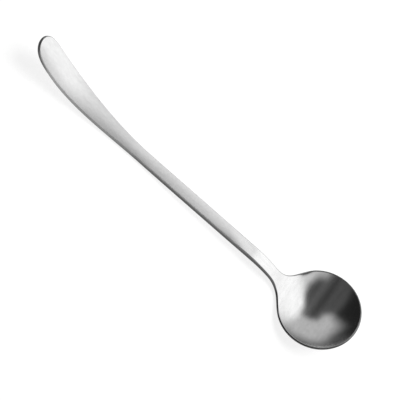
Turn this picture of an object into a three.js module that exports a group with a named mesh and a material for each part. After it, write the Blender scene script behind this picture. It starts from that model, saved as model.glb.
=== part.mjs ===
// Long-handled spoon with a round bowl.
// A pressed bowl is drawn out through two shoulders to a narrow root. The flat handle is butt
// welded to that root and ground flush. Its neck rises in an S from the rim to a straight stem,
// and its tail curls up and widens into a crowned paddle.
// Millimetres, +Z up, +X from the bowl to the tail. The spoon lies at rest on the plane z = 0,
// on the bowl's underside and the handle's belly, with the origin under the middle of its box.
import * as THREE from 'three';

const { degToRad, lerp, smoothstep, clamp } = THREE.MathUtils;

// Bowl: overall plan sizes, depth inside from the rim, and how full its section is (2 is a parabola)
const BOWL_LENGTH = 37.6;
const BOWL_WIDTH = 40;
const BOWL_DEPTH = 4.8;
const BOWL_FULLNESS = 2.1;
const BOWL_WALL = 1.1;

// Neck: it leaves the rim plane a little inside the end of the rim. Its length runs from there to the
// stem, and its rise is up to the top face of the stem. The wall thickens over the taper up to the stem,
// and the crest between bowl and neck is rounded off by the blend.
const NECK_WIDTH = 6.1;
const NECK_INSET = 3.8;
const NECK_LENGTH = 22.7;
const NECK_RISE = 9.9;
const NECK_TAPER = 27;
const CREST_BLEND = 0.3;

// Shoulders: width over both where they leave the rim, reach past the rim to the weld, and the
// pulls that shape their curve at either end
const SHOULDER_WIDTH = 25;
const SHOULDER_REACH = 6.9;
const SHOULDER_RIM_PULL = 5.5;
const SHOULDER_NECK_PULL = 6.9;

// Stem: the straight part of the handle, pitched up from the rim plane. Its top is slightly crowned,
// and the width and the crown change over the ease from those of the neck.
const STEM_WIDTH = 6.2;
const STEM_THICKNESS = 2.4;
const STEM_LENGTH = 45;
const STEM_PITCH = degToRad(15.2);
const STEM_CROWN = 0.15;
const STEM_EASE = 12;

// Tail: the part that curls up and widens into the paddle
const TAIL_LENGTH = 88.5;
const TAIL_THICKNESS = 1.6;
const TAIL_CURL = degToRad(38);
const CURL_GROWTH = 2.1;
const PADDLE_WIDTH = 12.9;
const PADDLE_START = 17;
const PADDLE_CROWN = 0.7;
const END_LENGTH = 16;
const END_BLUNTNESS = 4;

// Rounding of every long edge
const EDGE_RADIUS = 0.6;

// Facets
const WELD_STEPS = 6;
const NECK_STEPS = 5;
const SHOULDER_STEPS = 10;
const RIM_STEPS = 32;
const BOWL_RINGS = 18;
const EDGE_STEPS = 6;
const TAIL_STEPS = 26;
const END_STEPS = 10;

// Places along the spoon, measured from the centre of the rim
const RIM_END = BOWL_LENGTH / 2;
const WELD_X = RIM_END + SHOULDER_REACH;
const NECK_START = RIM_END - NECK_INSET;
const STEM_X = NECK_START + NECK_LENGTH;

// Lengths along the handle's spine, measured from the start of the stem
const HANDLE_END = STEM_LENGTH + TAIL_LENGTH;
const END_START = HANDLE_END - END_LENGTH;

// The inside edge of the rim lies in from the overall size by the sloping wall and its round edge
const WALL_ANGLE = Math.atan2(BOWL_DEPTH * BOWL_FULLNESS, RIM_END);
const RIM_INSET = (BOWL_WALL / 2) * (1 + Math.sin(WALL_ANGLE));
const INSIDE_LENGTH = RIM_END - RIM_INSET;
const INSIDE_WIDTH = BOWL_WIDTH / 2 - RIM_INSET;
const SHOULDER_TURN = Math.asin(SHOULDER_WIDTH / BOWL_WIDTH);

const steel = new THREE.MeshStandardMaterial({ color: 0xc8c8c6, metalness: 1, roughness: 0.32 });

function range(from, to, steps) {
  return Array.from({ length: steps + 1 }, (_, k) => lerp(from, to, k / steps));
}

// A closed skin over rings with equal numbers of points, drawn from a first apex to a last one
function skin(firstApex, rings, lastApex) {
  const count = rings[0].length;
  const points = [firstApex, ...rings.flat(), lastApex];
  const lastRing = 1 + (rings.length - 1) * count;
  const index = [];
  for (let i = 0; i < count; i++) {
    const next = (i + 1) % count;
    index.push(0, 1 + i, 1 + next);
    for (let near = 1; near < lastRing; near += count) {
      const far = near + count;
      index.push(near + i, far + i, far + next);
      index.push(near + i, far + next, near + next);
    }
    index.push(points.length - 1, lastRing + next, lastRing + i);
  }
  const geometry = new THREE.BufferGeometry().setFromPoints(points);
  geometry.setIndex(index);
  geometry.computeVertexNormals();
  return geometry;
}

// The edge radius, held within the thickness and the width that it rounds
function edgeRadius(thickness, halfWidth = Infinity) {
  return Math.min(EDGE_RADIUS, thickness / 2, halfWidth / 2);
}

// Round edge of a sheet, from its top face to its underside: steps out from the edge and down
function edgeProfile(thickness, radius) {
  return Array.from({ length: EDGE_STEPS }, (_, k) => {
    const angle = (Math.PI * (k + 0.5)) / EDGE_STEPS;
    const centre = angle < Math.PI / 2 ? radius : thickness - radius;
    return { out: radius * Math.sin(angle), down: centre - radius * Math.cos(angle) };
  });
}

// The smaller of two heights, with the crease between them rounded off, by the blend where they meet
function smoothMin(a, b, blend) {
  return (a + b - Math.hypot(a - b, 2 * blend)) / 2;
}

// Top face of the neck: lowest and level with the rim at its start, then an S that runs out into the
// stem. It is the quartic with no slope at the start, and with the stem's slope and no bend at the stem.
function neckHeight(x) {
  const t = (x - NECK_START) / NECK_LENGTH;
  const climb = NECK_LENGTH * Math.tan(STEM_PITCH);
  const square = 6 * NECK_RISE - 3 * climb;
  const cube = 5 * climb - 8 * NECK_RISE;
  const fourth = 3 * NECK_RISE - 2 * climb;
  return t * t * (square + t * (cube + t * fourth));
}

// Inside of the bowl, carried over a rounded crest onto the neck, which is all that is left at the weld
function topHeight(x, y) {
  const share = Math.hypot(x / INSIDE_LENGTH, y / INSIDE_WIDTH);
  const pressed = BOWL_DEPTH * (share ** BOWL_FULLNESS - 1);
  const neck = neckHeight(x);
  return lerp(smoothMin(pressed, neck, CREST_BLEND), neck, smoothstep(x, RIM_END, WELD_X));
}

function topPoint({ x, y }) {
  return new THREE.Vector3(x, y, topHeight(x, y));
}

function topNormal({ x, y }) {
  const step = 1e-3;
  const slopeX = (topHeight(x + step, y) - topHeight(x - step, y)) / (2 * step);
  const slopeY = (topHeight(x, y + step) - topHeight(x, y - step)) / (2 * step);
  return new THREE.Vector3(-slopeX, -slopeY, 1).normalize();
}

// Thickness of the bowl and the neck, square to their top face
function wallAt(x) {
  return lerp(BOWL_WALL, STEM_THICKNESS, smoothstep(x, STEM_X - NECK_TAPER, STEM_X));
}

function underPoint(place) {
  return topPoint(place).addScaledVector(topNormal(place), -wallAt(place.x));
}

// Plan of the bowl's top face: across the weld, round one shoulder and the rim, and back by the other
function bowlOutline() {
  const flat = NECK_WIDTH / 2 - edgeRadius(wallAt(WELD_X), NECK_WIDTH / 2);
  const onRim = new THREE.Vector2(
    INSIDE_LENGTH * Math.cos(SHOULDER_TURN),
    INSIDE_WIDTH * Math.sin(SHOULDER_TURN),
  );
  const alongRim = new THREE.Vector2(
    INSIDE_LENGTH * Math.sin(SHOULDER_TURN),
    -INSIDE_WIDTH * Math.cos(SHOULDER_TURN),
  ).setLength(SHOULDER_RIM_PULL);
  const shoulder = new THREE.CubicBezierCurve(
    new THREE.Vector2(WELD_X, flat),
    new THREE.Vector2(WELD_X - SHOULDER_NECK_PULL, flat),
    onRim.clone().add(alongRim),
    onRim,
  );
  const rim = new THREE.EllipseCurve(0, 0, INSIDE_LENGTH, INSIDE_WIDTH, SHOULDER_TURN, Math.PI);
  const side = [...shoulder.getPoints(SHOULDER_STEPS), ...rim.getPoints(RIM_STEPS).slice(1)].slice(1);
  const mirrored = side.slice(0, -1).reverse().map(({ x, y }) => new THREE.Vector2(x, -y));
  const weld = range(-flat, flat, WELD_STEPS).map((y) => new THREE.Vector2(WELD_X, y));
  return [...weld, ...side, ...mirrored];
}

// Which way the edge of the top face looks: square to the spoon at the two corners of the weld
function outwardAt(top, normal, i) {
  if (i === 0 || i === WELD_STEPS) {
    return new THREE.Vector3(0, Math.sign(top[i].y), 0);
  }
  const before = top[(i + top.length - 1) % top.length];
  const after = top[(i + 1) % top.length];
  return after.clone().sub(before).cross(normal).normalize();
}

// Rings of the bowl's round edge. Across the weld they lie flat in its plane.
function edgeRings(outline) {
  const top = outline.map(topPoint);
  const profiles = top.map((point, i) => {
    const normal = topNormal(outline[i]);
    const outward = outwardAt(top, normal, i);
    const wall = wallAt(point.x);
    return edgeProfile(wall, edgeRadius(wall)).map(({ out, down }) =>
      point.clone().addScaledVector(outward, out).addScaledVector(normal, -down));
  });
  return Array.from({ length: EDGE_STEPS }, (_, k) => profiles.map((profile, i) =>
    i < WELD_STEPS
      ? profiles[0][k].clone().lerp(profiles[WELD_STEPS][k], i / WELD_STEPS)
      : profile[k]));
}

// The bowl in rings that are scaled copies of its outline, inside, round its edge and underneath
function bowlRings() {
  const outline = bowlOutline();
  const shares = range(0, 1, BOWL_RINGS).slice(1);
  const places = shares.map((share) => outline.map((place) => place.clone().multiplyScalar(share)));
  return {
    inside: places.map((ring) => ring.map(topPoint)),
    edge: edgeRings(outline),
    under: places.map((ring) => ring.map(underPoint)).reverse(),
  };
}

// Outline of the weld: over the top, down one edge, back underneath and up the other edge
function weldRing({ inside, edge, under }) {
  const top = inside.at(-1).slice(0, WELD_STEPS + 1);
  const below = under[0].slice(0, WELD_STEPS + 1).reverse();
  const left = edge.map((ring) => ring[WELD_STEPS]);
  const right = edge.map((ring) => ring[0]).reverse();
  return [...top, ...left, ...below, ...right];
}

// A cross-section of the neck at a place along the bowl's axis
function neckFrame(x) {
  const place = new THREE.Vector2(x, 0);
  const normal = topNormal(place);
  const thickness = wallAt(x);
  const centre = topPoint(place).addScaledVector(normal, -thickness / 2);
  return { centre, normal, thickness, halfWidth: NECK_WIDTH / 2, crown: 0 };
}

function tailShare(s) {
  return clamp((s - STEM_LENGTH) / TAIL_LENGTH, 0, 1);
}

// Slope of the handle's spine, s being the length along it from the start of the stem
function spineSlope(s) {
  return STEM_PITCH + TAIL_CURL * tailShare(s) ** CURL_GROWTH;
}

// Share of the full width and crown that is left at the rounded end
function endShare(s) {
  const end = clamp((s - END_START) / END_LENGTH, 0, 1);
  return Math.sqrt(1 - end ** END_BLUNTNESS);
}

// Half width along the handle: neck to stem, stem to paddle, and the rounded end
function halfWidthAt(s) {
  const stem = lerp(NECK_WIDTH, STEM_WIDTH, smoothstep(s, 0, STEM_EASE));
  const paddle = smoothstep(s, STEM_LENGTH + PADDLE_START, END_START);
  return (lerp(stem, PADDLE_WIDTH, paddle) / 2) * endShare(s);
}

// Height of the top face's crown: none at the neck, the stem's, then growing along the tail
function crownAt(s) {
  const stem = STEM_CROWN * smoothstep(s, 0, STEM_EASE);
  return lerp(stem, PADDLE_CROWN, smoothstep(s, STEM_LENGTH, END_START)) * endShare(s);
}

// Thickness at the handle's edges, rounded off at the tip
function thicknessAt(s) {
  const rounding = clamp((s - HANDLE_END + EDGE_RADIUS) / EDGE_RADIUS, 0, 1);
  return lerp(STEM_THICKNESS, TAIL_THICKNESS, tailShare(s)) * Math.sqrt(1 - rounding ** 2);
}

// Lengths along the spine where the handle has a cross-section, closer together at the rounded end
function stemStations() {
  const end = range(0, Math.PI / 2, END_STEPS).map((turn) => END_START + END_LENGTH * Math.sin(turn));
  return [
    ...range(0, STEM_EASE, NECK_STEPS),
    ...range(STEM_LENGTH, END_START, TAIL_STEPS),
    ...end.slice(1),
  ];
}

// Cross-sections of the stem and the tail along the spine, which goes on from the end of the neck
function stemFrames() {
  const centre = neckFrame(STEM_X).centre;
  let reached = 0;
  return stemStations().map((s) => {
    const between = spineSlope((s + reached) / 2);
    centre.x += (s - reached) * Math.cos(between);
    centre.z += (s - reached) * Math.sin(between);
    reached = s;
    const slope = spineSlope(s);
    const normal = new THREE.Vector3(-Math.sin(slope), 0, Math.cos(slope));
    const sizes = { thickness: thicknessAt(s), halfWidth: halfWidthAt(s), crown: crownAt(s) };
    return { centre: centre.clone(), normal, ...sizes };
  });
}

// Points of a cross-section, in the same order as the weld's outline
function sectionRing({ centre, normal, thickness, halfWidth, crown }) {
  const radius = edgeRadius(thickness, halfWidth);
  const flat = halfWidth - radius;
  const edge = edgeProfile(thickness, radius);
  const across = range(-1, 1, WELD_STEPS);
  const at = (side, up) => centre.clone().addScaledVector(normal, up).add(new THREE.Vector3(0, side, 0));
  return [
    ...across.map((u) => at(u * flat, thickness / 2 + crown * (1 - u * u))),
    ...edge.map(({ out, down }) => at(flat + out, thickness / 2 - down)),
    ...across.map((u) => at(-u * flat, -thickness / 2)),
    ...edge.map(({ out, down }) => at(-flat - out, thickness / 2 - down)).reverse(),
  ];
}

// The handle starts on the bowl's own weld outline and ends in a point at the tip of the tail
function handleGeometry(weld) {
  const neck = range(WELD_X, STEM_X, NECK_STEPS).map(neckFrame);
  const stem = stemFrames();
  const tip = stem.pop().centre;
  const sections = [...neck.slice(1), ...stem.slice(1)].map(sectionRing);
  return skin(neck[0].centre, [weld, ...sections], tip);
}

function bowlGeometry({ inside, edge, under }) {
  const centre = new THREE.Vector2(0, 0);
  return skin(topPoint(centre), [...inside, ...edge, ...under], underPoint(centre));
}

// Turn about Y that brings the bowl's underside and the handle's belly down to one level
function restTurn(bowl, handle) {
  const lowest = ({ attributes: { position } }, turn) => {
    const levels = Array.from({ length: position.count }, (_, i) =>
      position.getZ(i) * Math.cos(turn) - position.getX(i) * Math.sin(turn));
    return Math.min(...levels);
  };
  let low = 0;
  let high = Math.PI / 4;
  for (let k = 0; k < 50; k++) {
    const turn = (low + high) / 2;
    if (lowest(bowl, turn) < lowest(handle, turn)) {
      low = turn;
    } else {
      high = turn;
    }
  }
  return low;
}

function namedMesh(name, geometry) {
  const mesh = new THREE.Mesh(geometry, steel.clone());
  mesh.name = name;
  return mesh;
}

const rings = bowlRings();
const bowl = namedMesh('bowl', bowlGeometry(rings));
const handle = namedMesh('handle', handleGeometry(weldRing(rings)));

const spoon = new THREE.Group();
spoon.add(bowl, handle);
spoon.rotation.y = restTurn(bowl.geometry, handle.geometry);
const box = new THREE.Box3().setFromObject(spoon, true);
spoon.position.set(-(box.min.x + box.max.x) / 2, 0, -box.min.z);

export default spoon;
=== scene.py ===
# %% [markdown]
# # A long-handled spoon in satin steel
# The spoon has two pieces: a round bowl pressed from sheet, and a flat handle that is butt welded
# to it. Both are smooth metal, so nothing on them hides a bad surface: a dent or a flat facet shows
# at once in the reflections. That is why both are made here again as fine surfaces, each a formula
# worked out on a grid with numpy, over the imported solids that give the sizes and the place.

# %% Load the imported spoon
import bmesh
import bpy
import numpy as np
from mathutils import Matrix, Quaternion, Vector


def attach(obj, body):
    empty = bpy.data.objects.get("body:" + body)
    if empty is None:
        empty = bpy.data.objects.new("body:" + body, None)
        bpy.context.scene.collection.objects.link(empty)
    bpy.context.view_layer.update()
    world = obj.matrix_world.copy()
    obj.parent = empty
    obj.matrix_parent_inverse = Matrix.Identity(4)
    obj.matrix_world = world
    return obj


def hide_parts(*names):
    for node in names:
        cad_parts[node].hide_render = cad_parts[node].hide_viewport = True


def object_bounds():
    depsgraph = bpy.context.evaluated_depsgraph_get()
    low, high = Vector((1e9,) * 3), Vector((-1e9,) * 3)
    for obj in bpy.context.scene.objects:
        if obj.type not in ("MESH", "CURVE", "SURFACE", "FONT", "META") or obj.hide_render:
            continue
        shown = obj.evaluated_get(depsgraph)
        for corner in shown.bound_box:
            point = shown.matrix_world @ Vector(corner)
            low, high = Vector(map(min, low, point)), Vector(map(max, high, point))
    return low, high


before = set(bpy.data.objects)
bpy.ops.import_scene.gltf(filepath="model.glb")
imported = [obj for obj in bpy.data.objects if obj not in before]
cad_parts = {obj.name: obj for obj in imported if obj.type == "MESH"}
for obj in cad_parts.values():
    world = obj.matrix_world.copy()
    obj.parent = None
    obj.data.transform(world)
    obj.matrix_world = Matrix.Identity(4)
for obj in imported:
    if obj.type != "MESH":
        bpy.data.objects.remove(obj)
cad_low, cad_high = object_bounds()
MM_PER_M = 1000
print("packed nodes:", sorted(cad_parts))
print("packed box in mm:", [round(MM_PER_M * side, 2) for side in cad_high - cad_low])

# %% [markdown]
# ## Sizes
# All sizes are millimetres, and angles are radians. They are the sizes of the solids, so that each
# surface lies on the solid that it stands for. The frame they are measured in is the bowl's own: the
# origin is the centre of the rim, X runs towards the tail, and Z is square to the rim.

# %% Sizes of the bowl and its shoulders
BOWL_LENGTH = 37.6
BOWL_WIDTH = 40
BOWL_DEPTH = 4.8
BOWL_FULLNESS = 2.1
BOWL_WALL = 1.1
SHOULDER_WIDTH = 25
SHOULDER_REACH = 6.9
SHOULDER_RIM_PULL = 5.5
SHOULDER_NECK_PULL = 6.9
CREST_BLEND = 0.3
EDGE_RADIUS = 0.6
print(f"bowl {BOWL_LENGTH} by {BOWL_WIDTH} mm, {BOWL_DEPTH} mm deep")

# %% Sizes of the neck, the stem and the tail
NECK_WIDTH = 6.1
NECK_INSET = 3.8
NECK_LENGTH = 22.7
NECK_RISE = 9.9
NECK_TAPER = 27
STEM_WIDTH = 6.2
STEM_THICKNESS = 2.4
STEM_LENGTH = 45
STEM_PITCH = np.radians(15.2)
STEM_CROWN = 0.15
STEM_EASE = 12
TAIL_LENGTH = 88.5
TAIL_THICKNESS = 1.6
TAIL_CURL = np.radians(38)
CURL_GROWTH = 2.1
PADDLE_WIDTH = 12.9
PADDLE_START = 17
PADDLE_CROWN = 0.7
END_LENGTH = 16
END_BLUNTNESS = 4
print(f"stem {STEM_LENGTH} mm and tail {TAIL_LENGTH} mm long, paddle {PADDLE_WIDTH} mm wide")

# %% Places that follow from the sizes
RIM_END = BOWL_LENGTH / 2
WELD_X = RIM_END + SHOULDER_REACH
HANDLE_END = STEM_LENGTH + TAIL_LENGTH
END_START = HANDLE_END - END_LENGTH
WALL_ANGLE = np.arctan2(BOWL_DEPTH * BOWL_FULLNESS, RIM_END)
RIM_INSET = BOWL_WALL / 2 * (1 + np.sin(WALL_ANGLE))
INSIDE_LENGTH = RIM_END - RIM_INSET
INSIDE_WIDTH = BOWL_WIDTH / 2 - RIM_INSET
SHOULDER_TURN = np.arcsin(SHOULDER_WIDTH / BOWL_WIDTH)
NECK_START = RIM_END - NECK_INSET
STEM_X = NECK_START + NECK_LENGTH
print(f"rim ends at {RIM_END:.1f}, weld at {WELD_X:.1f}, stem starts at {STEM_X:.1f} mm")

# %% [markdown]
# ## The camera
# The spoon lies on its bowl and its belly, and the picture looks down on it from the side at about
# 57 degrees. The camera is rolled so that the tail points to the upper left. A long lens from
# 1.2 m keeps the round rim close to a true ellipse. The camera comes first, because every later
# choice is judged through it.

# %% Camera
AIM = Vector((-0.00557, -0.00431, 0))
CAMERA_DISTANCE = 1.1984
CAMERA_AZIMUTH = np.radians(74.689)
CAMERA_ELEVATION = np.radians(57.013)
CAMERA_ROLL = np.radians(55.596)
LENS_MM = 247.3


def add_object(name, data):
    """An object for some data, linked into the scene at the origin."""
    added = bpy.data.objects.new(name, data)
    bpy.context.scene.collection.objects.link(added)
    return added


towards_camera = Vector((
    np.cos(CAMERA_ELEVATION) * np.cos(CAMERA_AZIMUTH),
    np.cos(CAMERA_ELEVATION) * np.sin(CAMERA_AZIMUTH),
    np.sin(CAMERA_ELEVATION),
))
camera = add_object("camera", bpy.data.cameras.new("camera"))
camera.data.lens = LENS_MM
camera.location = AIM + CAMERA_DISTANCE * towards_camera
camera.rotation_mode = "QUATERNION"
upright = towards_camera.to_track_quat("Z", "Y")
camera.rotation_quaternion = upright @ Quaternion((0, 0, 1), CAMERA_ROLL)
bpy.context.scene.camera = camera
print("camera at", [round(place, 3) for place in camera.location])

# %% [markdown]
# ## Three small curves
# Sheet metal that has been pressed and ground has no sudden changes, so sizes pass from one value to
# the next by an ease, and two surfaces that meet are joined by a rounded minimum. Blender's own
# nodes and modifiers have such curves too, but here they shape whole arrays of points.

# %% Curve helpers
def mix(start, end, share):
    """Straight blend: start where share is 0, end where it is 1."""
    return start + (end - start) * share


def smoothstep(x, low, high):
    """Ease from 0 at low to 1 at high: with t the share of the way, 3 t squared less 2 t cubed."""
    t = np.clip((x - low) / (high - low), 0, 1)
    return t * t * (3 - 2 * t)


def smooth_min(a, b, blend):
    """The smaller of a and b, rounded where they meet.

    It is half of (their sum less the root of (their gap squared plus the square of twice the blend)).
    """
    return (a + b - np.hypot(a - b, 2 * blend)) / 2


print("a quarter of the way, eased:", smoothstep(0.25, 0, 1))

# %% [markdown]
# ## Inside of the bowl and top of the neck
# On the real spoon one press forms the hollow, the shoulders and the root of the neck, so they are
# one face without a seam. A subdivided cage could be pulled into that shape by hand. A height over
# the rim plane is more exact: the hollow is a power of the share of the way to the rim, the neck is
# an S, and a rounded minimum makes the crest between them. Towards the weld the crest dies away, so
# that the neck alone crosses the joint.

# %% Height of the top face
def neck_height(x):
    """Quartic in t, the share of the neck.

    It is lowest and level at the start, and has the stem's slope and no bend where the stem begins.
    """
    t = (x - NECK_START) / NECK_LENGTH
    climb = NECK_LENGTH * np.tan(STEM_PITCH)
    square = 6 * NECK_RISE - 3 * climb
    cube = 5 * climb - 8 * NECK_RISE
    fourth = 3 * NECK_RISE - 2 * climb
    return t**2 * (square + t * (cube + t * fourth))


def top_height(x, y):
    """Depth times (share to the rim, to the power of the fullness, less 1), met by the neck.

    A rounded minimum joins the two in a crest, and from the rim to the weld it eases to the neck alone.
    """
    share = np.hypot(x / INSIDE_LENGTH, y / INSIDE_WIDTH)
    pressed = BOWL_DEPTH * (share**BOWL_FULLNESS - 1)
    neck = neck_height(x)
    return mix(smooth_min(pressed, neck, CREST_BLEND), neck, smoothstep(x, RIM_END, WELD_X))


print("depth inside, mm:", round(float(-top_height(0, 0)), 3))
print("neck at the stem, mm:", round(float(neck_height(STEM_X)), 3))


# %% Points, normals and wall of the top face
def unit(vectors):
    """Vectors divided by their length."""
    return vectors / np.linalg.norm(vectors, axis=-1, keepdims=True)


def top_point(x, y):
    """Points of the top face over plan places."""
    return np.stack([x, y, top_height(x, y)], axis=-1)


def top_normal(x, y, step=1e-3):
    """Unit normal of the top face: (minus slope in x, minus slope in y, 1), by central differences."""
    slope_x = (top_height(x + step, y) - top_height(x - step, y)) / (2 * step)
    slope_y = (top_height(x, y + step) - top_height(x, y - step)) / (2 * step)
    return unit(np.stack([-slope_x, -slope_y, np.ones_like(slope_x)], axis=-1))


def wall_at(x):
    """Wall thickness: the bowl's, easing to the stem's over the taper of the neck."""
    return mix(BOWL_WALL, STEM_THICKNESS, smoothstep(x, STEM_X - NECK_TAPER, STEM_X))


print("wall at the weld, mm:", round(float(wall_at(WELD_X)), 2))

# %% [markdown]
# ## Rolled edges
# The rim and the long edges are ground round, because they touch the mouth and the hand. A Bevel
# modifier would do that on a box, but here the edge is a profile carried along the outline: part of
# a circle out and down, a straight side, and a quarter circle back. It starts at the slope of the
# face that it leaves, so that no crease shows between them. Each row also has a share of painted
# shade, a dark reflection painted into the edge's colour, fullest half way round.

# %% Edge profile
EDGE_ROWS = 14
EDGE_SHADE_FALLOFF = 1.2

row_share = (np.arange(EDGE_ROWS) + 0.5) / EDGE_ROWS
# Share of painted shade, a dark reflection painted into the colour, on each row of the edge.
edge_shade_share = np.sin(np.pi * row_share)**EDGE_SHADE_FALLOFF


def edge_radius(thickness):
    """The rounding, held within half the thickness."""
    return np.minimum(EDGE_RADIUS, thickness / 2)


def edge_profile(thickness, radius, start=0.0):
    """Steps out from the edge and down from the top, a row for each angle from the start to 180 degrees.

    Out is radius times (sine of the angle less sine of the start). Down is radius times minus the
    cosine of the angle, from a centre near the top up to 90 degrees and near the underside after it.
    """
    angle = mix(start, np.pi, row_share[:, None])
    centre = np.where(angle < np.pi / 2, radius * np.cos(start), thickness - radius)
    return radius * (np.sin(angle) - np.sin(start)), centre - radius * np.cos(angle)


print("edge radius at the rim and on the stem, mm:", edge_radius(BOWL_WALL), edge_radius(STEM_THICKNESS))

# %% [markdown]
# ## Outline of the bowl
# Seen from above, the outline runs across the weld, sweeps round one shoulder in a Bezier curve that
# leaves the rim without a corner, follows the rim's ellipse round the tip, and comes back by the
# other shoulder. A curve object could be drawn like that, but the numbers are needed for the grid.

# %% Bowl outline
WELD_COLUMNS = 20
SHOULDER_COLUMNS = 44
RIM_COLUMNS = 96


def bezier(p0, p1, p2, p3, steps):
    """Cubic Bezier curve: the four points weighted by the cubic Bernstein polynomials of t."""
    t = np.linspace(0, 1, steps + 1)[:, None]
    return (1 - t)**3 * p0 + 3 * t * (1 - t)**2 * p1 + 3 * t**2 * (1 - t) * p2 + t**3 * p3


def rim_point(turn):
    """Plan points of the rim's ellipse: half length times cosine, half width times sine."""
    return np.stack([INSIDE_LENGTH * np.cos(turn), INSIDE_WIDTH * np.sin(turn)], axis=-1)


def bowl_outline():
    """Plan points (x, y) in order round the bowl, starting across the weld."""
    flat = NECK_WIDTH / 2 - edge_radius(wall_at(WELD_X))
    corner = np.array([WELD_X, flat])
    neck_pull = corner - np.array([SHOULDER_NECK_PULL, 0])
    on_rim = rim_point(SHOULDER_TURN)
    rim_pull = on_rim + SHOULDER_RIM_PULL * unit(rim_point(SHOULDER_TURN - np.pi / 2))
    shoulder = bezier(corner, neck_pull, rim_pull, on_rim, SHOULDER_COLUMNS)
    rim = rim_point(np.linspace(SHOULDER_TURN, np.pi, RIM_COLUMNS + 1))
    side = np.concatenate([shoulder[1:], rim[1:]])
    mirrored = side[-2::-1] * np.array([1, -1])
    across = np.linspace(-flat, flat, WELD_COLUMNS + 1)
    weld = np.stack([np.full_like(across, WELD_X), across], axis=-1)
    return np.concatenate([weld, side, mirrored])


outline = bowl_outline()
print("outline points:", len(outline), "length in x, mm:", round(float(np.ptp(outline[:, 0])), 2))

# %% [markdown]
# ## Surface of the bowl
# The grid has two parameters: one goes round the outline, and the other goes from the middle out to
# the rim, over the rolled edge, and back underneath. The rings inside are smaller copies of the
# outline. The underside lies one wall below the top face, along its normal, as sheet metal does. A
# Solidify modifier would give that wall too, but not one that grows towards the stem.

# %% Rolled edge of the bowl
def rolled_edge(places):
    """Rows of the rolled edge: the profile's steps out along the outward direction and down the normal."""
    top = top_point(*places.T)
    normal = top_normal(*places.T)
    tangent = np.roll(top, -1, axis=0) - np.roll(top, 1, axis=0)
    outward = unit(np.cross(tangent, normal))
    outward[0] = (0, -1, 0)
    outward[WELD_COLUMNS] = (0, 1, 0)
    wall = wall_at(places[:, 0])
    out, down = edge_profile(wall, edge_radius(wall))
    rows = top + out[..., None] * outward - down[..., None] * normal
    share = np.linspace(0, 1, WELD_COLUMNS + 1)[:, None]
    rows[:, :WELD_COLUMNS + 1] = mix(rows[:, :1], rows[:, WELD_COLUMNS:WELD_COLUMNS + 1], share)
    return rows


edge = rolled_edge(outline)
print("rows and points of the rolled edge:", edge.shape[:2])

# %% Bowl surface
BOWL_RINGS = 84

shares = np.linspace(0, 1, BOWL_RINGS + 1)[:, None, None]
x, y = np.moveaxis(shares * outline, -1, 0)
inside = top_point(x, y)
under = inside - wall_at(x)[..., None] * top_normal(x, y)
bowl_rings = np.concatenate([inside[1:], edge, under[:0:-1]])
# Painted shade on the rows of the rolled edge: a dark reflection painted into the colour.
bowl_edge_shade_mask = np.zeros(bowl_rings.shape[:2])
bowl_edge_shade_mask[BOWL_RINGS:BOWL_RINGS + EDGE_ROWS] = edge_shade_share[:, None]
print("bowl grid:", bowl_rings.shape[:2])

# %% [markdown]
# ## Spine of the handle
# The handle is a flat bar that follows one line: out of the weld along the S of the neck, straight
# along the stem, and up in the curl of the tail. A curve object with a bevel could carry one profile
# along it, but the profile changes all the way, so each station gets its own centre, normal,
# thickness, width and crown.

# %% Sizes along the spine
def tail_share(s):
    """Share of the tail that lies before the length s along the spine."""
    return np.clip((s - STEM_LENGTH) / TAIL_LENGTH, 0, 1)


def end_share(s):
    """Share of the width left at the round end: root of (1 less the way along it to its bluntness)."""
    end = np.clip((s - END_START) / END_LENGTH, 0, 1)
    return np.sqrt(1 - end**END_BLUNTNESS)


def half_width_at(s):
    """Neck eased to stem, stem eased to paddle, times the share left at the round end, over two."""
    stem = mix(NECK_WIDTH, STEM_WIDTH, smoothstep(s, 0, STEM_EASE))
    paddle = smoothstep(s, STEM_LENGTH + PADDLE_START, END_START)
    return mix(stem, PADDLE_WIDTH, paddle) / 2 * end_share(s)


def crown_at(s):
    """Crown: none at the neck, the stem's, then the paddle's, times the share left at the end, squared."""
    stem = STEM_CROWN * smoothstep(s, 0, STEM_EASE)
    return mix(stem, PADDLE_CROWN, smoothstep(s, STEM_LENGTH, END_START)) * end_share(s)**2


def thickness_at(s):
    """The stem's thickness, changing in a straight line to the tail's."""
    return mix(STEM_THICKNESS, TAIL_THICKNESS, tail_share(s))


print("widest, mm:", round(2 * float(half_width_at(END_START)), 2))


# %% Line of the spine
def spine_slope(s):
    """The stem's pitch, plus the curl times the share of the tail to the power of its growth."""
    return STEM_PITCH + TAIL_CURL * tail_share(s)**CURL_GROWTH


def spine_points(s, start):
    """Centres along the spine: the running sum of steps along the slope half way through each step."""
    steps = np.diff(s, prepend=0)
    middle = spine_slope(s - steps / 2)
    along = np.cumsum(steps * np.cos(middle))
    up = np.cumsum(steps * np.sin(middle))
    return start + np.stack([along, np.zeros_like(s), up], axis=-1)


print("slope at the tip, degrees:", round(float(np.degrees(spine_slope(HANDLE_END))), 1))

# %% Stations of the neck
NECK_ROWS = 40

neck_x = np.linspace(WELD_X, STEM_X, NECK_ROWS + 1)
level = np.zeros_like(neck_x)
neck_normal = top_normal(neck_x, level)
neck_wall = wall_at(neck_x)
neck_centre = top_point(neck_x, level) - neck_wall[:, None] / 2 * neck_normal
print("stations of the neck:", len(neck_x))

# %% Lengths along the stem and the tail
STEM_ROWS = 70
TAIL_ROWS = 150
END_ROWS = 56

end_turn = np.linspace(0, np.pi / 2, END_ROWS + 1)
lengths = np.concatenate([
    np.linspace(0, STEM_LENGTH, STEM_ROWS + 1),
    np.linspace(STEM_LENGTH, END_START, TAIL_ROWS + 1)[1:],
    (END_START + END_LENGTH * np.sin(end_turn))[1:],
])
half_widths = half_width_at(lengths)
crowns = crown_at(lengths)
thicknesses = thickness_at(lengths)
print("stations of the stem and tail:", len(lengths), "up to", round(float(lengths[-1]), 1), "mm")

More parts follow.
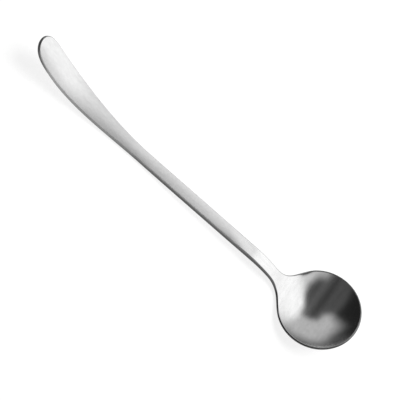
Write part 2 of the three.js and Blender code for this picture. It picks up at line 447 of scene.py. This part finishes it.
# %% [markdown]
# ## Round the end of the tail
# On the real tail the rolled edge runs on round the blunt end. Sections that only shrink to a point
# would pinch it there, so each one's edge steps out square to the outline instead: sideways along
# the stem, and straight ahead at the tip. The crowned face falls away at its border, and the edge
# takes up that slope.

# %% Outward steps and the fall of the face
def outward_at(s, half_width):
    """Unit steps square to the outline, along the spine and across it: (less width, more length)."""
    along = -np.gradient(half_width, edge_order=2)
    across = np.gradient(s, edge_order=2)
    return unit(np.stack([along, across], axis=-1))


def border_fall(half_width, radius, crown, across):
    """Slope of the crowned face at its border: its tangent is twice the crown over the half width.

    The half width is the face's own, inside the edge, and is measured square to the outline. The tip
    has none, so it takes the slope of the station before it.
    """
    fall = np.arctan2(2 * crown, (half_width - radius * across) * across)
    fall[-1] = fall[-2]
    return fall


radii = edge_radius(thicknesses)
outward = outward_at(lengths, half_widths)
outward[0] = (0, 1)
outward[-1] = (1, 0)
fall = border_fall(half_widths, radii, crowns, outward[:, 1])
print("most fall of the face, degrees:", round(float(np.degrees(fall.max())), 1))

# %% Stations of the stem and the tail
borders = lengths - radii * (1 - np.sin(fall)) * outward[:, 0]
slope = spine_slope(borders)
stem_normal = np.stack([-np.sin(slope), np.zeros_like(slope), np.cos(slope)], axis=-1)
stem_centre = spine_points(borders, neck_centre[-1])
print("face ends before the tip by, mm:", round(float(HANDLE_END - borders[-1]), 2))

# %% [markdown]
# ## Sections of the handle
# Each section is a closed loop: a top face that is crowned on the paddle, a rolled edge, a flat
# underside, and the other rolled edge. The first section is the outline of the weld, so the two
# pieces meet there without a step. The rolled edges carry painted shade, a dark reflection painted
# into their colour; along the tail less of it is painted, and round the end all of it again.

# %% Handle surface
SECTION_COLUMNS = 24


def section_loops(centre, normal, thickness, half_width, crown, outward, fall):
    """Closed loops of points: top face, rolled edge, underside and the other rolled edge.

    With u from -1 to 1 across, the top stands at half the thickness plus crown times (1 less u
    squared). The edges step out and down by their profile, and the underside is flat.
    """
    radius = edge_radius(thickness)
    along, aside = outward.T
    flat = half_width - radius * aside
    back = -radius * np.sin(fall)
    out, down = edge_profile(thickness, radius, fall)
    across = np.linspace(-1, 1, SECTION_COLUMNS + 1)[:, None]
    still = np.zeros(across.shape[:1] + flat.shape)
    top = (across * (flat - back * aside), thickness / 2 + crown * (1 - across**2), still)
    left = (flat + (out - back) * aside, thickness / 2 - down, out * along)
    below = (-across * flat, still - thickness / 2, still + back * along)
    right = (-left[0][::-1], left[1][::-1], left[2][::-1])
    side, up, forward = (np.concatenate(rows).T for rows in zip(top, left, below, right))
    tangent = np.stack([normal[:, 2], np.zeros_like(half_width), -normal[:, 0]], axis=-1)
    loops = centre[:, None] + up[..., None] * normal[:, None] + forward[..., None] * tangent[:, None]
    loops[..., 1] += side
    return loops


neck_halves = np.full_like(neck_x, NECK_WIDTH / 2)
sideways = np.tile((0, 1), (len(neck_x), 1))
neck_loops = section_loops(neck_centre, neck_normal, neck_wall, neck_halves, level, sideways, level)
stem_loops = section_loops(stem_centre, stem_normal, thicknesses, half_widths, crowns, outward, fall)
handle_rings = np.concatenate([neck_loops, stem_loops[1:]])
print("handle grid:", handle_rings.shape[:2])

# %% Painted shade of the handle's edges
TAIL_EDGE_SHADE = 0.72
EDGE_SHADE_EASE = 60
EDGE_SHADE_END = 8


def lighter_edge_shade_at(s):
    """Eases from 0 at the start of the tail to 1, and back to 0 round the end; it lightens the painted
    edge shade.
    """
    shade_eased = smoothstep(s, STEM_LENGTH, STEM_LENGTH + EDGE_SHADE_EASE)
    return shade_eased * (1 - smoothstep(s, END_START, END_START + EDGE_SHADE_END))


stations = np.concatenate([level, lengths[1:]])
# Painted shade on the handle's edges, a dark reflection painted into the colour, lighter along the tail.
edge_shade_rows = mix(1, TAIL_EDGE_SHADE, lighter_edge_shade_at(stations))[:, None] * edge_shade_share
handle_edge_shade_mask = np.zeros(handle_rings.shape[:2])
handle_edge_shade_mask[:, SECTION_COLUMNS + 1:SECTION_COLUMNS + 1 + EDGE_ROWS] = edge_shade_rows
handle_edge_shade_mask[:, -EDGE_ROWS:] = edge_shade_rows
print("most lightened edge shade:", round(float(lighter_edge_shade_at(stations).max()), 2))

# %% [markdown]
# ## Laid down
# A spoon put on a table rests on the bowl's underside and on the handle's belly. A rigid body
# simulation could drop it there. The turn about Y that brings the two down to one level is found
# here by halving an interval, and then the spoon is moved so that the tip of its bowl lies where the
# packed bowl has it.

# %% Turn and place at rest
HALVINGS = 50


def turned(points, turn):
    """Points turned about Y: x cos + z sin, y, z cos - x sin."""
    x, y, z = np.moveaxis(points, -1, 0)
    along = x * np.cos(turn) + z * np.sin(turn)
    up = z * np.cos(turn) - x * np.sin(turn)
    return np.stack([along, y, up], axis=-1)


def rest_turn(first, second, low=0.0, high=np.pi / 4):
    """The turn at which the lowest points of both are level, by halving."""
    for _ in range(HALVINGS):
        middle = (low + high) / 2
        if turned(first, middle)[..., 2].min() < turned(second, middle)[..., 2].min():
            low = middle
        else:
            high = middle
    return low


spoon_turn = rest_turn(bowl_rings, handle_rings)
lowest = turned(bowl_rings, spoon_turn).min(axis=(0, 1))
lowest[2] = min(lowest[2], turned(handle_rings, spoon_turn)[..., 2].min())
shift = np.array([MM_PER_M * cad_low[0] - lowest[0], 0, -lowest[2]])


def at_rest(points):
    """Points in the bowl's frame, in mm, to points at rest, in metres."""
    return (turned(np.asarray(points, dtype=float), spoon_turn) + shift) / MM_PER_M


print("turn at rest, degrees:", round(float(np.degrees(spoon_turn)), 3))

# %% [markdown]
# ## From grid to mesh
# A grid becomes a mesh of quads between neighbouring rings, with a fan of triangles at each pole.
# The last loop of the handle lies flat on itself along the tip, so merging the points that coincide
# closes it. The loop where the two pieces touch is marked sharp, because the flat face of the weld
# must not pull the shading of the faces that go on across it. A vertex attribute keeps which points
# lie on the rolled edges, and how much painted shade, a dark reflection painted into the colour, each
# gets.

# %% Faces
def ring_quads(rows, columns):
    """Quads between neighbouring rings of points that are numbered ring by ring."""
    here = np.arange(columns)
    following = (here + 1) % columns
    near = columns * np.arange(rows - 1)[:, None]
    far = near + columns
    return np.stack([near + here, far + here, far + following, near + following], axis=-1).reshape(-1, 4)


def fan(pole, ring):
    """Triangles from a pole to each step round a ring."""
    return np.stack([np.full_like(ring, pole), ring, np.roll(ring, -1)], axis=-1)


def skin_faces(rows, columns, poles):
    """Quads between the rings, a fan at the first ring and, if there are two poles, one at the last."""
    first_ring = np.arange(columns)
    faces = ring_quads(rows, columns).tolist() + fan(rows * columns, first_ring).tolist()
    if poles == 2:
        last_ring = first_ring[::-1] + columns * (rows - 1)
        faces += fan(rows * columns + 1, last_ring).tolist()
    return faces


print("faces of a bead of 3 rings of 4 points:", len(skin_faces(3, 4, 2)))

# %% Marks kept in a mesh
def set_point_values(mesh, name, values):
    """A number kept at each vertex under a name, for the materials."""
    attribute = mesh.attributes.new(name, "FLOAT", "POINT")
    attribute.data.foreach_set("value", values.astype(np.float32))


def mark_sharp(mesh, on_loop):
    """Edges with both ends on the loop become sharp."""
    ends = np.empty(2 * len(mesh.edges), dtype=np.int32)
    mesh.edges.foreach_get("vertices", ends)
    sharp = on_loop[ends.reshape(-1, 2)].all(axis=1)
    mesh.attributes.new("sharp_edge", "BOOLEAN", "EDGE").data.foreach_set("value", sharp)


bowl_weld = np.zeros(bowl_rings.shape[:2], dtype=bool)
bowl_weld[BOWL_RINGS - 1, :WELD_COLUMNS + 1] = True
bowl_weld[BOWL_RINGS + EDGE_ROWS, :WELD_COLUMNS + 1] = True
bowl_weld[BOWL_RINGS:BOWL_RINGS + EDGE_ROWS, [0, WELD_COLUMNS]] = True
handle_weld = np.zeros(handle_rings.shape[:2], dtype=bool)
handle_weld[0] = True
print("points on the weld's loop, bowl and handle:", bowl_weld.sum(), handle_weld.sum())

# %% Closed skins and the bowl piece
MERGE_DISTANCE = 1e-7


def merge_doubles(mesh):
    """Points that lie on one another become one point."""
    work = bmesh.new()
    work.from_mesh(mesh)
    bmesh.ops.remove_doubles(work, verts=work.verts, dist=MERGE_DISTANCE)
    work.to_mesh(mesh)
    work.free()


def closed_skin(name, rings, poles, edge_shade_mask, weld_loop):
    """Smooth mesh over rings of points and poles, with the weld's loop kept sharp."""
    rows, columns = rings.shape[:2]
    points = np.concatenate([rings.reshape(-1, 3), poles])
    mesh = bpy.data.meshes.new(name)
    mesh.from_pydata(points, [], skin_faces(rows, columns, len(poles)))
    mesh.shade_smooth()
    no_poles = np.zeros(len(poles))
    # The rolled_edge attribute holds each point's share of painted edge shade.
    set_point_values(mesh, "rolled_edge", np.concatenate([edge_shade_mask.ravel(), no_poles]))
    mark_sharp(mesh, np.concatenate([weld_loop.ravel(), no_poles.astype(bool)]))
    merge_doubles(mesh)
    return add_object(name, mesh)


bowl_poles = at_rest([inside[0, 0], under[0, 0]])
bowl = closed_skin("satin_bowl", at_rest(bowl_rings), bowl_poles, bowl_edge_shade_mask, bowl_weld)
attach(bowl, "root")
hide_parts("bowl")
print("bowl faces:", len(bowl.data.polygons))

# %% Handle piece
handle_poles = at_rest(neck_centre[:1])
handle = closed_skin("satin_handle", at_rest(handle_rings), handle_poles, handle_edge_shade_mask, handle_weld)
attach(handle, "root")
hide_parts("handle")
print("handle faces:", len(handle.data.polygons))

# %% [markdown]
# ## Brushed finish
# Satin steel is not a flat grey. An abrasive belt leaves hair lines that all run one way: along the
# handle, and across the bowl, where the work was turned under the belt. The pressure of the belt
# leaves broader bands, and the metal itself has a fine grain. A photograph of brushed steel could be
# wrapped round the spoon, but noise that is stretched along the stroke has no seams and no limit of
# sharpness. All three come from one node group that both pieces use, and run along X of the vector
# that it is given. Each has a scale along X, Y and Z, in waves to the metre, and a level of detail.

# %% Brush lines group
BRUSH_NOISES = {
    "Hair lines": ((60, 3200, 200), 4.0),
    "Bands": ((50, 330, 60), 2.0),
    "Grain": ((420, 800, 420), 3.0),
}

brush_lines = bpy.data.node_groups.new("brush_lines", "ShaderNodeTree")
brush_lines.interface.new_socket("Vector", in_out="INPUT", socket_type="NodeSocketVector")
for name in BRUSH_NOISES:
    brush_lines.interface.new_socket(name, in_out="OUTPUT", socket_type="NodeSocketFloat")
print("group:", brush_lines.name, [item.name for item in brush_lines.interface.items_tree])

# %% Noise stretched along the stroke
NOISE_ROUGHNESS = 0.6


def add_node(tree, kind, inputs=None, **settings):
    """A node of a kind, with settings on the node and values on its named inputs."""
    node = tree.nodes.new(kind)
    for key, value in settings.items():
        setattr(node, key, value)
    for key, value in (inputs or {}).items():
        node.inputs[key].default_value = value
    return node


def stretched_noise(tree, vector, scale, detail):
    """Noise from 0 to 1 on a vector that is first scaled along each axis."""
    mapping = add_node(tree, "ShaderNodeMapping", {"Scale": scale})
    noise = add_node(tree, "ShaderNodeTexNoise", {
        "Scale": 1.0, "Detail": detail, "Roughness": NOISE_ROUGHNESS,
    })
    tree.links.new(vector, mapping.inputs["Vector"])
    tree.links.new(mapping.outputs["Vector"], noise.inputs["Vector"])
    return noise.outputs["Fac"]


entry = brush_lines.nodes.new("NodeGroupInput")
leave = brush_lines.nodes.new("NodeGroupOutput")
for name, (scale, detail) in BRUSH_NOISES.items():
    noise = stretched_noise(brush_lines, entry.outputs["Vector"], scale, detail)
    brush_lines.links.new(noise, leave.inputs[name])
print("nodes in the group:", len(brush_lines.nodes))

# %% [markdown]
# ## Steel
# Metal has no colour of its own under the reflections, so its look is the tint and the sharpness of
# what it mirrors. The bowl is the shinier piece, and along the neck the finish turns into the dull
# satin of the handle. Its colour also holds painted light along X: a painted highlight makes the
# handle brighter than the bowl, the stem brightest, the narrow waist of the tail darker and the paddle
# brighter again. The rolled edges have painted shade, a dark reflection painted into their colour,
# which draws the thin line round the spoon. Two materials could be painted by hand, but ramps along X
# keep both pieces in step.

# %% Values along the spoon
# Gains on the base colour are painted light: a painted highlight on the stem and paddle, less at the
# waist.
STEM_PAINTED_LIGHT = 1.46
WAIST_PAINTED_LIGHT = 1.11
PADDLE_PAINTED_LIGHT = 1.33
BOWL_ROUGHNESS = 0.15
HANDLE_ROUGHNESS = 0.46
FINISH_LENGTH = 0.045
WELD_PLACE = float(at_rest(neck_centre[0])[0])
STEM_PLACE = WELD_PLACE + FINISH_LENGTH
TAIL_PLACE = 0.012
WAIST_PLACE = 0.057
PADDLE_PLACE = 0.077
ROUGHNESS_STOPS = ((WELD_PLACE, BOWL_ROUGHNESS), (STEM_PLACE, HANDLE_ROUGHNESS))
PAINTED_LIGHT_STOPS = (
    (WELD_PLACE, 1.0),
    (STEM_PLACE, STEM_PAINTED_LIGHT),
    (TAIL_PLACE, STEM_PAINTED_LIGHT),
    (WAIST_PLACE, WAIST_PAINTED_LIGHT),
    (PADDLE_PLACE, PADDLE_PAINTED_LIGHT),
)


def ranged(tree, value, start, end, to_start, to_end):
    """A value from start to end, moved in a straight line to a new range."""
    node = add_node(tree, "ShaderNodeMapRange", {
        "From Min": start, "From Max": end, "To Min": to_start, "To Max": to_end,
    })
    tree.links.new(value, node.inputs["Value"])
    return node.outputs["Result"]


def eased_stops(tree, place, stops):
    """A value by X, in metres, that eases from each stop's value to the next."""
    first, last = stops[0][0], stops[-1][0]
    split = add_node(tree, "ShaderNodeSeparateXYZ")
    tree.links.new(place, split.inputs["Vector"])
    ramp = add_node(tree, "ShaderNodeValToRGB")
    tree.links.new(ranged(tree, split.outputs["X"], first, last, 0.0, 1.0), ramp.inputs["Fac"])
    ramp.color_ramp.interpolation = "EASE"
    elements = ramp.color_ramp.elements
    for _ in stops[2:]:
        elements.new(0.5)
    for element, (x, value) in zip(elements, stops):
        element.position = (x - first) / (last - first)
        element.color = (value, value, value, 1.0)
    return ramp.outputs["Color"]


print("painted light changes at X, mm:", [round(MM_PER_M * x, 1) for x, _ in PAINTED_LIGHT_STOPS])

# %% Colour of the steel
STEEL_TINT = (0.68, 0.68, 0.68, 1.0)
# Painted shade: a dark reflection painted into the colour of the rolled edges.
EDGE_PAINTED_SHADE = (0.07, 0.07, 0.07, 1.0)
NOISE_SPAN = (0.3, 0.7)
TINT_SPAN = (0.95, 1.03)
MIX_FIRST_COLOUR = 6
MIX_SECOND_COLOUR = 7
MIX_COLOUR_RESULT = 2


def combined(tree, operation, first, second):
    """Two values joined by a math operation."""
    node = add_node(tree, "ShaderNodeMath", operation=operation)
    tree.links.new(first, node.inputs[0])
    tree.links.new(second, node.inputs[1])
    return node.outputs["Value"]


def steel_colour(tree, place, brush):
    """Tint of the face or the painted edge shade, times bands, times grain, times painted light along the
    spoon.
    """
    # The rolled_edge attribute mixes in the painted edge shade.
    edge_shade_mask = add_node(tree, "ShaderNodeAttribute", attribute_name="rolled_edge")
    tint = add_node(tree, "ShaderNodeMix", data_type="RGBA")
    tint.inputs[MIX_FIRST_COLOUR].default_value = STEEL_TINT
    tint.inputs[MIX_SECOND_COLOUR].default_value = EDGE_PAINTED_SHADE
    tree.links.new(edge_shade_mask.outputs["Fac"], tint.inputs["Factor"])
    bands = ranged(tree, brush.outputs["Bands"], *NOISE_SPAN, *TINT_SPAN)
    grain = ranged(tree, brush.outputs["Grain"], *NOISE_SPAN, *TINT_SPAN)
    gain = combined(tree, "MULTIPLY", bands, grain)
    # Bands and grain are the steel's own tone; the stops along X multiply in painted light.
    gain = combined(tree, "MULTIPLY", gain, eased_stops(tree, place, PAINTED_LIGHT_STOPS))
    shade = add_node(tree, "ShaderNodeVectorMath", operation="SCALE")
    tree.links.new(tint.outputs[MIX_COLOUR_RESULT], shade.inputs[0])
    tree.links.new(gain, shade.inputs["Scale"])
    return shade.outputs["Vector"]


print("tint of the faces:", STEEL_TINT[0], "and of the painted edge shade:", EDGE_PAINTED_SHADE[0])

# %% Steel materials
LINE_ROUGHNESS = 0.04
LINE_BUMP = 0.12
LINE_DEPTH = 0.00002


def steel_roughness(tree, place, brush):
    """Roughness along the spoon, a little more or less with the hair lines."""
    lines = ranged(tree, brush.outputs["Hair lines"], 0.0, 1.0, -LINE_ROUGHNESS, LINE_ROUGHNESS)
    return combined(tree, "ADD", lines, eased_stops(tree, place, ROUGHNESS_STOPS))


def steel_material(name, stroke):
    """Brushed steel: stroke is the turn about Z, in radians, that lays the group's X along the lines."""
    material = bpy.data.materials.new(name)
    material.use_nodes = True
    tree = material.node_tree
    shader = tree.nodes["Principled BSDF"]
    shader.inputs["Metallic"].default_value = 1.0
    place = add_node(tree, "ShaderNodeTexCoord").outputs["Object"]
    along = add_node(tree, "ShaderNodeMapping", {"Rotation": (0, 0, stroke)})
    tree.links.new(place, along.inputs["Vector"])
    brush = add_node(tree, "ShaderNodeGroup", node_tree=brush_lines)
    tree.links.new(along.outputs["Vector"], brush.inputs["Vector"])
    bump = add_node(tree, "ShaderNodeBump", {"Strength": LINE_BUMP, "Distance": LINE_DEPTH})
    tree.links.new(brush.outputs["Hair lines"], bump.inputs["Height"])
    tree.links.new(steel_colour(tree, place, brush), shader.inputs["Base Color"])
    tree.links.new(steel_roughness(tree, place, brush), shader.inputs["Roughness"])
    tree.links.new(bump.outputs["Normal"], shader.inputs["Normal"])
    return material


bowl.data.materials.append(steel_material("steel_brushed_across", np.pi / 2))
handle.data.materials.append(steel_material("steel_brushed_along", 0.0))
print("materials:", bowl.data.materials[0].name, "and", handle.data.materials[0].name)

# %% [markdown]
# ## Light tent
# A polished thing is a picture of the room around it. The room here is a light tent, which is how
# cutlery is photographed: a wall of light beyond the bowl, a grey panel beside it, a dim fill on the
# other side, and dark folded cloth overhead with a darker corner towards the tail. Area lamps could
# stand for the panels, but a dome with a glow at each vertex gives soft borders everywhere. It is
# there for reflections only. Angles are degrees: azimuth from X, elevation from the floor.

# %% Folded cloth
CLOTH_GLOW = 0.09
FOLD_WIDTH = 17
FOLD_RATIO = 1.62
FOLD_SHIFT = 1
FOLD_DEPTH = 0.45
CORNER_GLOW = 0.02
CORNER_WINDOW = (0, 36, 16)
CORNER_TOP = (40, 56)


def window(angle, centre, half, soft):
    """1 within half of the centre and 0 beyond half plus soft, in degrees, eased between."""
    away = np.abs((angle - centre + 180) % 360 - 180)
    return 1 - smoothstep(away, half, half + soft)


def tailward(azimuth, elevation):
    """How far a direction points to the tail: cosine of elevation times cosine of azimuth."""
    return np.cos(np.radians(elevation)) * np.cos(np.radians(azimuth))


def cloth_glow(azimuth, elevation):
    """The cloth's glow times (1 plus the depth times the mean of two sines), blended to the corner's.

    The sines go by the lean, which is the angle in degrees from straight up towards the tail.
    """
    lean = np.degrees(np.arctan2(tailward(azimuth, elevation), np.sin(np.radians(elevation))))
    phase = 2 * np.pi * lean / FOLD_WIDTH
    folds = np.sin(phase) + np.sin(phase / FOLD_RATIO + FOLD_SHIFT)
    corner = window(azimuth, *CORNER_WINDOW) * (1 - smoothstep(elevation, *CORNER_TOP))
    return mix(CLOTH_GLOW * (1 + FOLD_DEPTH * folds / 2), CORNER_GLOW, corner)


print("cloth straight up glows:", round(float(cloth_glow(0, 90)), 3))

# %% Grey panel and fill
GREY_WINDOW = (-72, 22, 26)
GREY_FOOT = 9
GREY_FOOT_RISE = 17
GREY_FOOT_TURN = (-75, -45)
GREY_FOOT_SOFT = (-12, 12)
GREY_HEAD = 46
GREY_HEAD_RISE = 7
GREY_HEAD_WINDOW = (-45, 8, 14)
GREY_HEAD_SOFT = (-6, 6)
FILL_WINDOW = (125, 35, 35)
FILL_TOP = (40, 52)
STRIP_WINDOW = (140, 35, 35)
STRIP_FOOT = (64, 72)
STRIP_TOP = (72, 84)


def grey_share(azimuth, elevation):
    """Share of the grey panel: a window of azimuth, between a foot and a head that rise on one side."""
    foot = GREY_FOOT + GREY_FOOT_RISE * smoothstep(azimuth, *GREY_FOOT_TURN)
    head = GREY_HEAD + GREY_HEAD_RISE * window(azimuth, *GREY_HEAD_WINDOW)
    above = smoothstep(elevation - foot, *GREY_FOOT_SOFT)
    below = 1 - smoothstep(elevation - head, *GREY_HEAD_SOFT)
    return window(azimuth, *GREY_WINDOW) * above * below


def fill_share(azimuth, elevation):
    """Share of the fill: a low panel, plus a strip higher up, each a window of azimuth and elevation."""
    low_panel = 1 - smoothstep(elevation, *FILL_TOP)
    high_strip = smoothstep(elevation, *STRIP_FOOT) * (1 - smoothstep(elevation, *STRIP_TOP))
    return window(azimuth, *FILL_WINDOW) * low_panel + window(azimuth, *STRIP_WINDOW) * high_strip


print("grey panel at its middle:", grey_share(-72, 30), "fill at its middle:", fill_share(125, 20))

# %% Wall of light and the whole tent
WALL_EDGE = 0.05
WALL_LOW_EDGE = 0.2
WALL_LOW = (5, 50)
WALL_HIGH_EDGE = 0.17
WALL_HIGH = (54, 74)
WALL_SOFT = (-0.09, 0.09)
WALL_TOP = (58, 86)
WALL_WINDOW = (-125, 20, 40)
WALL_ROUND = (50, 75)
WALL_FOOT_GLOW = 0.72
WALL_FOOT = (12, 42)
GREY_GLOW = 0.64
FILL_GLOW = 0.60
WALL_GLOW = 1.40


def wall_share(azimuth, elevation):
    """Share of the wall of light: directions away from the tail by more than an edge, under a top.

    Low down it is a window of azimuth, and higher up it goes all round.
    """
    edge = WALL_EDGE + WALL_LOW_EDGE * (1 - smoothstep(elevation, *WALL_LOW))
    edge = edge + WALL_HIGH_EDGE * smoothstep(elevation, *WALL_HIGH)
    away = smoothstep(-tailward(azimuth, elevation) - edge, *WALL_SOFT)
    below = 1 - smoothstep(elevation, *WALL_TOP)
    return away * below * mix(window(azimuth, *WALL_WINDOW), 1, smoothstep(elevation, *WALL_ROUND))


def tent_glow(azimuth, elevation):
    """Glow by direction: cloth, blended to the grey panel, to the fill and to the wall by their shares."""
    azimuth = (azimuth + 180) % 360 - 180
    glow = mix(cloth_glow(azimuth, elevation), GREY_GLOW, grey_share(azimuth, elevation))
    glow = mix(glow, FILL_GLOW, fill_share(azimuth, elevation))
    wall_glow = WALL_GLOW * mix(WALL_FOOT_GLOW, 1, smoothstep(elevation, *WALL_FOOT))
    return mix(glow, wall_glow, wall_share(azimuth, elevation))


print("wall of light glows:", round(float(tent_glow(-150, 50)), 2))

# %% Tent
TENT_RADIUS = 0.9
TENT_COLUMNS = 240
TENT_ROWS = 63
TENT_FOOT = -3


def tent():
    """Dome of quads: radius times (cos el cos az, cos el sin az, sin el) over azimuth and elevation."""
    round_room = np.linspace(0, 360, TENT_COLUMNS, endpoint=False)
    azimuth, elevation = np.meshgrid(round_room, np.linspace(TENT_FOOT, 90, TENT_ROWS))
    az, el = np.radians(azimuth), np.radians(elevation)
    directions = np.stack([np.cos(el) * np.cos(az), np.cos(el) * np.sin(az), np.sin(el)], axis=-1)
    mesh = bpy.data.meshes.new("light_tent")
    points = TENT_RADIUS * directions.reshape(-1, 3)
    mesh.from_pydata(points, [], ring_quads(TENT_ROWS, TENT_COLUMNS).tolist())
    mesh.shade_smooth()
    set_point_values(mesh, "glow", tent_glow(azimuth, elevation).ravel())
    return add_object("light_tent", mesh)


def tent_material():
    """Emission as strong as the tent's own glow attribute."""
    material = bpy.data.materials.new("tent_cloth")
    material.use_nodes = True
    tree = material.node_tree
    tree.nodes.clear()
    glow = add_node(tree, "ShaderNodeAttribute", attribute_name="glow")
    emission = add_node(tree, "ShaderNodeEmission")
    output = add_node(tree, "ShaderNodeOutputMaterial")
    tree.links.new(glow.outputs["Fac"], emission.inputs["Strength"])
    tree.links.new(emission.outputs["Emission"], output.inputs["Surface"])
    return material


light_tent = tent()
light_tent.data.materials.append(tent_material())
light_tent.visible_camera = False
light_tent.visible_diffuse = False
light_tent.visible_shadow = False
light_tent.visible_transmission = False
print("tent faces:", len(light_tent.data.polygons))

# %% [markdown]
# ## Floor, lamp and world
# The spoon lies on a pale sheet that looks white. Stronger lamps would whiten the sheet, but they
# would light the spoon too, so the sheet and the world are lifted to white for the rays that see
# them: from the camera, from metal and through glass. A wide soft lamp above gives a faint shadow.

# %% Floor
FLOOR_SIZE = 3.0
FLOOR_TINT = (0.30, 0.30, 0.30, 1.0)
FLOOR_LIFT = 0.74
FLOOR_CORNERS = np.array([(-0.5, -0.5, 0), (0.5, -0.5, 0), (0.5, 0.5, 0), (-0.5, 0.5, 0)])


def strength_by_ray(tree, unseen, seen):
    """One strength for rays from the camera, from metal and through glass, and one for all others."""
    path = add_node(tree, "ShaderNodeLightPath").outputs
    looks = combined(tree, "MAXIMUM", path["Is Camera Ray"], path["Is Glossy Ray"])
    looks = combined(tree, "MAXIMUM", looks, path["Is Transmission Ray"])
    return ranged(tree, looks, 0.0, 1.0, unseen, seen)


def floor_material():
    """Pale matt sheet, lifted to white by a little glow that only seen rays get."""
    material = bpy.data.materials.new("pale_sheet")
    material.use_nodes = True
    tree = material.node_tree
    tree.nodes.clear()
    matt = add_node(tree, "ShaderNodeBsdfDiffuse", {"Color": FLOOR_TINT})
    glow = add_node(tree, "ShaderNodeEmission")
    both_shaders = add_node(tree, "ShaderNodeAddShader")
    output = add_node(tree, "ShaderNodeOutputMaterial")
    tree.links.new(strength_by_ray(tree, 0.0, FLOOR_LIFT), glow.inputs["Strength"])
    tree.links.new(matt.outputs["BSDF"], both_shaders.inputs[0])
    tree.links.new(glow.outputs["Emission"], both_shaders.inputs[1])
    tree.links.new(both_shaders.outputs["Shader"], output.inputs["Surface"])
    return material


floor_mesh = bpy.data.meshes.new("floor")
floor_mesh.from_pydata(FLOOR_SIZE * FLOOR_CORNERS, [], [(0, 1, 2, 3)])
floor_mesh.materials.append(floor_material())
floor = add_object("floor", floor_mesh)
print("floor, m:", FLOOR_SIZE, "by", FLOOR_SIZE)

# %% Lamp
LAMP_SIZE = 0.9
LAMP_PLACE = (-0.45, -0.35, 1.0)
LAMP_POWER = 12.0

lamp_data = bpy.data.lights.new("soft_lamp", "AREA")
lamp_data.shape = "SQUARE"
lamp_data.size = LAMP_SIZE
lamp_data.energy = LAMP_POWER
lamp = add_object("soft_lamp", lamp_data)
lamp.location = LAMP_PLACE
lamp.rotation_mode = "QUATERNION"
lamp.rotation_quaternion = Vector(LAMP_PLACE).to_track_quat("Z", "Y")
lamp.visible_glossy = False
print("lamp, W:", LAMP_POWER, "at", LAMP_PLACE)

# %% World
WORLD_FILL = 0.45
WHITE = (1.0, 1.0, 1.0, 1.0)

world = bpy.data.worlds.new("studio")
world.use_nodes = True
sky = world.node_tree
background = sky.nodes["Background"]
background.inputs["Color"].default_value = WHITE
sky.links.new(strength_by_ray(sky, WORLD_FILL, 1.0), background.inputs["Strength"])
bpy.context.scene.world = world
bpy.context.scene.view_settings.view_transform = "Standard"
print("world lights the spoon at", WORLD_FILL)
